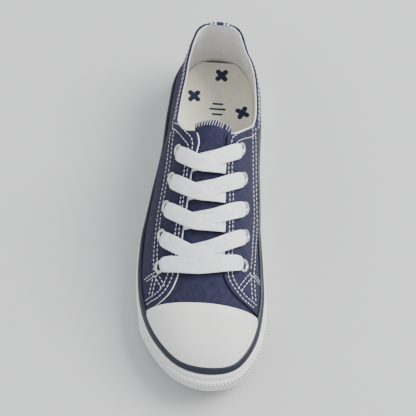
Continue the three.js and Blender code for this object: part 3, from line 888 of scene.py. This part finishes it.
def build_rubber_tone():
    """Moulded rubber: faint mottling, a fine skin, and a darker, browner tint towards the bottom."""
    group = bpy.data.node_groups.new("rubber tone", "ShaderNodeTree")
    face = group.interface
    face.new_socket("Colour", in_out="INPUT", socket_type="NodeSocketColor")
    face.new_socket("Low Darkening", in_out="INPUT", socket_type="NodeSocketFloat")
    face.new_socket("Colour", in_out="OUTPUT", socket_type="NodeSocketColor")
    face.new_socket("Roughness", in_out="OUTPUT", socket_type="NodeSocketFloat")
    face.new_socket("Height", in_out="OUTPUT", socket_type="NodeSocketFloat")
    given = group.nodes.new("NodeGroupInput")
    place = group.nodes.new("ShaderNodeTexCoord")
    cloud = add_node(group, "ShaderNodeTexNoise", {"Vector": place.outputs["Object"], "Scale": 45.0,
                                                   "Detail": 4.0})
    fine = add_node(group, "ShaderNodeTexNoise", {"Vector": place.outputs["Object"], "Scale": 1400.0,
                                                  "Detail": 2.0})
    split = add_node(group, "ShaderNodeSeparateXYZ", {0: place.outputs["Object"]})
    # Darker and browner towards the bottom: the lowest 12 mm are mixed patchily towards grey-brown.
    low = add_node(group, "ShaderNodeMapRange", {0: split.outputs["Z"], 1: 0.0, 2: 0.012, 3: 1.0,
                                                 4: 0.0})
    low_darkening = math_node(group, "MULTIPLY", math_node(group, "MULTIPLY", low.outputs[0],
                                                  cloud.outputs["Fac"]), given.outputs["Low Darkening"])
    shade = add_node(group, "ShaderNodeMapRange", {0: cloud.outputs["Fac"], 1: 0.3, 2: 0.7, 3: 0.96,
                                                   4: 1.02})
    tone = add_node(group, "ShaderNodeHueSaturation", {"Color": given.outputs["Colour"],
                                                       "Value": shade.outputs[0]})
    low_darkened = add_node(group, "ShaderNodeMix", {0: low_darkening, 6: tone.outputs["Color"],
                                              7: (0.42, 0.38, 0.32, 1)}, data_type="RGBA")
    rough = add_node(group, "ShaderNodeMapRange", {0: cloud.outputs["Fac"], 1: 0.3, 2: 0.7, 3: 0.42,
                                                   4: 0.56})
    result = group.nodes.new("NodeGroupOutput")
    group.links.new(low_darkened.outputs[2], result.inputs["Colour"])
    group.links.new(rough.outputs[0], result.inputs["Roughness"])
    group.links.new(fine.outputs["Fac"], result.inputs["Height"])
    return group


rubber_tone = build_rubber_tone()


def rubber(name, colour, low_darkening=0.25, coat=0.0):
    material, tree, shader = principled(name, {"Coat Weight": coat, "Coat Roughness": 0.15})
    toning = add_node(tree, "ShaderNodeGroup", node_tree=rubber_tone)
    toning.inputs["Colour"].default_value = colour + (1,)
    toning.inputs["Low Darkening"].default_value = low_darkening
    tree.links.new(toning.outputs["Colour"], shader.inputs["Base Color"])
    tree.links.new(toning.outputs["Roughness"], shader.inputs["Roughness"])
    relief = add_node(tree, "ShaderNodeBump", {"Height": toning.outputs["Height"], "Strength": 0.25,
                                               "Distance": 0.06 * MM})
    tree.links.new(relief.outputs["Normal"], shader.inputs["Normal"])
    return material


RUBBER_WHITE = (0.76, 0.76, 0.73)
white_rubber = rubber("white rubber", RUBBER_WHITE)


def at_height(place, height, out):
    """Points at a height on the last made larger by out, straight down below the sole's top."""
    turn = turn_where(place, lambda point: point[..., 2] > height, out)
    point = last(place, turn, out)
    point[..., 2] = np.where(turn < 1e-4, height, point[..., 2])
    return point


def strip(name, place, profile, bottom, top):
    """A rubber strip round the last: profile is (out, share of height from bottom to top, mm up)."""
    station = LAST_MIDDLE - last(place, 0.0)[:, 1]
    low, high = along(bottom, station), along(top, station)
    points = np.stack([at_height(place, low + (high - low) * share + extra, out)
                       for out, share, extra in profile])
    bpy.ops.object.select_all(action="DESELECT")
    bpy.ops.mesh.primitive_torus_add(major_segments=len(place), minor_segments=len(profile),
                                     major_radius=0.1, minor_radius=0.01)
    piece = bpy.context.object
    piece.name = piece.data.name = name
    ordered = np.transpose(points, (1, 0, 2))
    piece.data.vertices.foreach_set("co", (ordered * MM).astype(np.float32).ravel())
    piece.data.update()
    finish(piece, "SUBSURF", levels=1, render_levels=1)
    bpy.ops.object.shade_smooth_by_angle(angle=math.radians(50))
    return piece


ring_places = np.arange(RING_STEPS) / RING_STEPS
FOXING_PROFILE = [
    (FOXING_INSIDE, 0, 0.2), (1.8, 0, 0), (FOXING_OUT - 0.5, 0, 0), (FOXING_OUT, 0, 0.7),
    (FOXING_OUT, 0, 3), (FOXING_OUT - 0.02, 0, 3.4), (FOXING_OUT - 0.4, 0, 3.7), (FOXING_OUT, 0, 4.1),
    (FOXING_OUT, 0.5, 0), (FOXING_OUT, 1, -3.4), (FOXING_OUT - 0.05, 1, -3),
    (FOXING_OUT - 0.5, 1, -2.6),
    (FOXING_OUT - 0.1, 1, -2.1), (FOXING_OUT - 0.1, 1, -0.7), (FOXING_OUT - 0.55, 1, 0),
    (1.8, 1, 0), (FOXING_INSIDE, 1, -0.2), (FOXING_INSIDE, 0.5, 0),
]
foxing_bottom = [(station, height + 1.0) for station, height in SOLE_BOTTOM]
foxing = strip("foxing_strip", ring_places, FOXING_PROFILE, foxing_bottom, FOXING_TOP)
mount_piece(foxing, "white_rubber", white_rubber, "foxing")

# --- Side stripe ----------------------------------------------------------------------------------
# A thin strip of glossy dark navy rubber, stuck on over the top edge of the foxing.
STRIPE_TOP = [
    (-20, 31.3), (60, 29.4), (120, 28.6), (180, 29.5), (194, 31), (208, 33.2), (222, 34.9),
    (234, 35.9), (260, 39.5),
]
STRIPE_OUT = 3.0
STRIPE_PROFILE = [
    (FOXING_INSIDE, 0, 0.3), (1.4, 0, 0.3), (STRIPE_OUT - 0.5, 0, 0.3), (STRIPE_OUT, 0, 0.75),
    (STRIPE_OUT - 0.05, 0.5, 0), (STRIPE_OUT - 0.3, 1, -0.7), (STRIPE_OUT - 0.8, 1, -0.1), (1.3, 1, 0),
    (FOXING_INSIDE, 1, -0.1), (FOXING_INSIDE, 0.5, 0),
]
stripe = strip("stripe_strip", ring_places, STRIPE_PROFILE, FOXING_TOP, STRIPE_TOP)
stripe_rubber = rubber("dark navy rubber", (0.0045, 0.009, 0.02), low_darkening=0.02, coat=0.04)
mount_piece(stripe, "stripe_rubber", stripe_rubber, "side_stripe")

# --- Toe cap --------------------------------------------------------------------------------------
# White rubber moulded over the toes, thinned at its straight rear edge, with its lower edge tucked
# behind the stripe.
CAP_REAR = 195.6
CAP_OUT = 1.9
CAP_COLUMNS = 100
CAP_ROWS = 30
CAP_WALL = 1.5
CAP_SKIVE = 1.1  # taken off its rear edge


def draw_cap():
    place = round_the_toe(CAP_REAR, CAP_COLUMNS)
    low = along(FOXING_TOP, LAST_MIDDLE - last(place, 0.0)[:, 1]) + 2.5
    start = turn_where(place, lambda point: point[..., 2] > low, CAP_OUT)
    share = np.linspace(0, 1, CAP_ROWS)[:, None]
    turn = start + (1 - start) * share
    station = LAST_MIDDLE - last(place, turn)[..., 1]
    skived = CAP_SKIVE * (1 - smooth_step(station, CAP_REAR - 0.5, CAP_REAR + 5))
    return skin("cap_skin", last(place, turn, CAP_OUT - skived), CAP_WALL, merge=True)


toe_cap = draw_cap()
mount_piece(toe_cap, "white_rubber", rubber("toe cap rubber", (0.74, 0.735, 0.705), low_darkening=0.0),
            "toe_cap")

# --- Toe bumper -----------------------------------------------------------------------------------
# A second strip of white rubber round the front, moulded with slanting ribs above a row of small
# pips, running out thin along both sides.
BUMPER_REAR = {"outer": 192.0, "inner": 178.0}
BUMPER_OUT = 4.5
BUMPER_COLUMNS = 620
BUMPER_ROWS = 40
BUMPER_WALL = 1.0
RIB_PITCH = 2.6
RIB_HEIGHT = 0.8
PIP_PITCH = 3.2


def draw_bumper():
    ends = [place_at(side, BUMPER_REAR[side]) for side in ("outer", "inner")]
    place = np.linspace(*ends, BUMPER_COLUMNS)
    base = last(place, 0.0, BUMPER_OUT)
    run = np.concatenate([[0], np.cumsum(np.linalg.norm(np.diff(base, axis=0), axis=1))])
    station = LAST_MIDDLE - base[:, 1]
    low, high = along(SOLE_BOTTOM, station) + 2.2, along(FOXING_TOP, station) - 4.2
    share = np.linspace(0, 1, BUMPER_ROWS)[:, None]
    height = low + (high - low) * share
    ribbed = smooth_step(share, 0.42, 0.5) * (1 - smooth_step(share, 0.9, 0.98))
    wave = np.sin(2 * np.pi * (run / RIB_PITCH + share * 2.2))
    pips = np.maximum(np.sin(2 * np.pi * run / PIP_PITCH), 0) ** 2
    pips = np.exp(-(((share - 0.24) / 0.07) ** 2)) * pips
    thin = smooth_step(run, 0, 14) * smooth_step(run, run[-1], run[-1] - 14)
    edge = np.sin(np.pi * np.clip(share, 0, 1)) ** 0.15
    out = FOXING_OUT + 0.1 + (BUMPER_OUT - FOXING_OUT - 0.1) * thin * edge
    out = out + RIB_HEIGHT * thin * (ribbed * np.clip(wave * 0.9, -0.5, 0.8) + 0.9 * pips)
    return skin("bumper_strip", at_height(np.broadcast_to(place, height.shape), height, out),
                BUMPER_WALL, round_over=0)


bumper = draw_bumper()
mount_piece(bumper, "white_rubber", white_rubber, "toe_bumper")

# --- Outsole --------------------------------------------------------------------------------------
# Off-white rubber sole, moulded in one with cross grooves under heel and forefoot, and cured onto
# the lasted upper. The CAD solid itself shows, with its rubber.
sole_rubber = rubber("off-white sole rubber", (0.62, 0.59, 0.52), low_darkening=0.5)
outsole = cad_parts["outsole"]
outsole.data.materials.clear()
outsole.data.materials.append(sole_rubber)

# --- Eyelets --------------------------------------------------------------------------------------
# Nickel-plated steel rings, rolled over the canvas, five on each side. The outer row sits a little
# nearer the toe than the inner one.
EYELETS = [(169.5, 27.6), (149.5, 27.5), (131.5, 26), (113.5, 23.6), (96, 20.6)]
MIDDLE_X = -1.0
EYELET_STAGGER = 2.5
EYELET_STEPS = 28
EYELET_PROFILE = [
    (2.15, -1.6), (2.6, -1.6), (2.75, 0.3), (4.3, 0.35), (4.55, 0.55), (4.3, 0.95), (3.4, 1.15),
    (2.5, 0.95), (2.15, 0.3),
]


def nickel():
    material, tree, shader = principled("nickel plate", {"Metallic": 1.0})
    place = tree.nodes.new("ShaderNodeTexCoord")
    marks = add_node(tree, "ShaderNodeTexNoise", {"Vector": place.outputs["Object"], "Scale": 900.0,
                                                  "Detail": 3.0})
    tone = add_node(tree, "ShaderNodeMix", {0: marks.outputs["Fac"], 6: (0.5, 0.5, 0.5, 1),
                                            7: (0.72, 0.72, 0.71, 1)}, data_type="RGBA")
    rough = add_node(tree, "ShaderNodeMapRange", {0: marks.outputs["Fac"], 3: 0.18, 4: 0.42})
    tree.links.new(tone.outputs[2], shader.inputs["Base Color"])
    tree.links.new(rough.outputs[0], shader.inputs["Roughness"])
    return material


def eyelet_place(side, row):
    station, distance = EYELETS[row]
    outward = -1 if side == "outer" else 1
    return MIDDLE_X + outward * distance, station - outward * EYELET_STAGGER


def surface_frame(x, station, out=0.0):
    """Point on the last and its outward direction, for a place in plan."""
    spot = over(x, station, out)
    aside = over(x + 0.4, station, out) - over(x - 0.4, station, out)
    ahead = over(x, station - 0.4, out) - over(x, station + 0.4, out)
    normal = np.cross(aside, ahead)
    return spot, normal / np.linalg.norm(normal, axis=-1, keepdims=True)


nickel_plate = nickel()
for side in ("outer", "inner"):
    for row in range(len(EYELETS)):
        spot, normal = surface_frame(*eyelet_place(side, row), QUARTER_OUT)
        bpy.ops.object.select_all(action="DESELECT")
        bpy.ops.mesh.primitive_torus_add(
            major_segments=EYELET_STEPS, minor_segments=len(EYELET_PROFILE),
            major_radius=3 * MM, minor_radius=1 * MM)
        eyelet = bpy.context.object
        eyelet.name = eyelet.data.name = f"eyelet_ring_{side}_{row + 1}"
        turned = Vector((0, 0, 1)).rotation_difference(Vector(normal)).to_matrix().to_4x4()
        seat = Matrix.Translation(Vector(spot) * MM) @ turned
        for index, vertex in enumerate(eyelet.data.vertices):
            angle = 2 * math.pi * (index // len(EYELET_PROFILE)) / EYELET_STEPS
            radius, height = EYELET_PROFILE[::-1][index % len(EYELET_PROFILE)]
            rim = Vector((radius * math.cos(angle), radius * math.sin(angle), height))
            vertex.co = seat @ (rim * MM)
        bpy.ops.object.mode_set(mode="EDIT")
        bpy.ops.mesh.select_all(action="SELECT")
        bpy.ops.mesh.normals_make_consistent(inside=False)
        bpy.ops.object.mode_set(mode="OBJECT")
        bpy.ops.object.shade_smooth()
        mount_piece(eyelet, "eyelet_metal", nickel_plate, f"eyelet_{side}_{row + 1}")

# --- Laces ----------------------------------------------------------------------------------------
# One flat white cotton lace. It comes up through each eyelet, spreads to its full width and goes
# under the opposite facing one row nearer the toe; the first row is a straight bar.
LACE_WIDTH = 10.4
LACE_THICK = 1.25
lace_cotton = cloth("white lace cotton", (0.84, 0.86, 0.88), pitch=0.9, contrast=0.3,
                    unevenness=0.9, sheen=0.15, bump=0.22)


def strap(name, stops, *nodes):
    """A flat strap along (x, station, height over the canvas, width, camber) stops."""
    path = curve_through(stops, 64)
    spots, normals = surface_frame(path[:, 0], path[:, 1], QUARTER_OUT)
    centres = spots + normals * path[:, 2:3]
    ways = np.gradient(centres, axis=0)
    sides = np.cross(ways, normals)
    sides /= np.linalg.norm(sides, axis=1)[:, None]
    tops = np.cross(sides, ways)
    tops /= np.linalg.norm(tops, axis=1)[:, None]
    aside = np.linspace(-0.5, 0.5, 11)
    width = path[:, 3:4]
    camber = path[:, 4:5] * (1 - (2 * aside) ** 2) - path[:, 4:5]
    points = (centres[:, None] + sides[:, None] * (aside * width)[..., None]
              + tops[:, None] * camber[..., None])
    points = points[:, ::-1]
    piece = skin(name, points, LACE_THICK)
    mount_piece(piece, "lace_cotton", lace_cotton, *nodes)
    return piece


# From inside the eyelet: (distance forward, height, width, camber) as the lace turns over its ring.
LACE_EXIT = [
    (1.5, -3.2, 3.2, 1.2), (1.4, -0.4, 4.0, 1.2), (1.8, 1.3, 6.0, 1.0), (3.0, 2.1, 8.6, 0.8),
    (5.4, 2.3, LACE_WIDTH, 0.4),
]


def out_of_eyelet(side, row, towards):
    """Stops from inside an eyelet over its ring, heading for a place in plan."""
    x, station = eyelet_place(side, row)
    way = np.array(towards) - (x, station)
    way = way / np.linalg.norm(way)
    return [(x + way[0] * forward, station + way[1] * forward, height, width, camber)
            for forward, height, width, camber in LACE_EXIT]


def draw_bar():
    left, right = eyelet_place("outer", 0), eyelet_place("inner", 0)
    middle = (MIDDLE_X, EYELETS[0][0] + 3.4, 1.7, LACE_WIDTH, 0.2)
    stops = out_of_eyelet("outer", 0, right) + [middle] + out_of_eyelet("inner", 0, left)[::-1]
    strap("lace_bar_strap", stops, "lace_bar")


CROSSING = {
    "outer": [(0.42, 1.9), (0.62, 1.2), (0.77, 0.1), (0.87, -1.1), (1.0, -2.4)],
    "inner": [(0.42, 1.0), (0.6, -0.4), (0.8, -1.3), (1.0, -2.9)],
}
CROSSING_SAG = {"outer": (7.5, 0.72), "inner": (5.0, 0.85)}  # bow towards the toe, and its early peak
CROSSING_GOAL = {"outer": 0.5, "inner": 2.0}  # how far short of the next eyelet a strap heads


def draw_crossing(side, row):
    """One strap from an eyelet to under the opposite facing, one row nearer the toe."""
    other = "inner" if side == "outer" else "outer"
    x, station = eyelet_place(side, row)
    goal_x, goal_station = eyelet_place(other, row - 1)
    goal_station -= CROSSING_GOAL[side]
    edge = along(FACING[other], goal_station - 1.0)
    share_end = (edge - x) / (goal_x - x) + 0.1
    sag, early = CROSSING_SAG[side]

    def on_way(share):
        bow = sag * math.sin(math.pi * min(share / share_end, 1.0) ** early)
        return x + (goal_x - x) * share, station + (goal_station - station) * share + bow

    stops = out_of_eyelet(side, row, on_way(0.15 * share_end))
    for share, height in CROSSING[side]:
        stops.append((*on_way(share * share_end), height, LACE_WIDTH, 0.25))
    nodes = [f"lace_crossing_{row}"] if side == "outer" else []
    strap(f"lace_strap_{side}_{row + 1}", stops, *nodes)


draw_bar()
for row in range(1, len(EYELETS)):
    for side in ("inner", "outer"):
        draw_crossing(side, row)

# --- Floor, light and camera ----------------------------------------------------------------------
# A plain pale floor, a broad softbox from the right with a weaker one opposite, and a camera that
# looks down over the toe.


def floor_material():
    material, tree, shader = principled("pale studio floor", {"Roughness": 0.85})
    place = tree.nodes.new("ShaderNodeTexCoord")
    cloud = add_node(tree, "ShaderNodeTexNoise", {"Vector": place.outputs["Object"], "Scale": 3.0})
    tone = add_node(tree, "ShaderNodeMix", {0: cloud.outputs["Fac"], 6: (0.53, 0.53, 0.53, 1),
                                            7: (0.56, 0.56, 0.56, 1)}, data_type="RGBA")
    tree.links.new(tone.outputs[2], shader.inputs["Base Color"])
    return material


bpy.ops.object.select_all(action="DESELECT")
bpy.ops.mesh.primitive_plane_add(size=6)
floor = bpy.context.object
floor.name = "floor"
floor.data.materials.append(floor_material())

world = bpy.data.worlds.new("studio")
bpy.context.scene.world = world
world.use_nodes = True
world.node_tree.nodes["Background"].inputs["Color"].default_value = (0.93, 0.95, 1.0, 1)
world.node_tree.nodes["Background"].inputs["Strength"].default_value = 0.94


def soft_light(name, place, aim, size, power):
    light = bpy.data.lights.new(name, "AREA")
    light.energy = power
    light.size = size
    lamp = bpy.data.objects.new(name, light)
    bpy.context.scene.collection.objects.link(lamp)
    lamp.location = place
    lamp.rotation_euler = (Vector(aim) - Vector(place)).to_track_quat("-Z", "Y").to_euler()


soft_light("key softbox", (1.1, 0.5, 1.5), (0, 0, 0), 1.1, 60)
soft_light("fill softbox", (-1.2, -0.3, 1.3), (0, 0, 0), 1.4, 7)

CAMERA_ROLL = 1.8  # degrees
camera_data = bpy.data.cameras.new("camera")
camera_data.lens = 159
camera_data.sensor_width = 36
camera = bpy.data.objects.new("camera", camera_data)
bpy.context.scene.collection.objects.link(camera)
camera.location = (0.020, -0.460, 1.197)
aim = Vector((0.0, 0.0, 0.034))
level = (aim - camera.location).to_track_quat("-Z", "Y").to_matrix()
camera.rotation_euler = (level @ Matrix.Rotation(math.radians(CAMERA_ROLL), 3, "Z")).to_euler()
bpy.context.scene.camera = camera
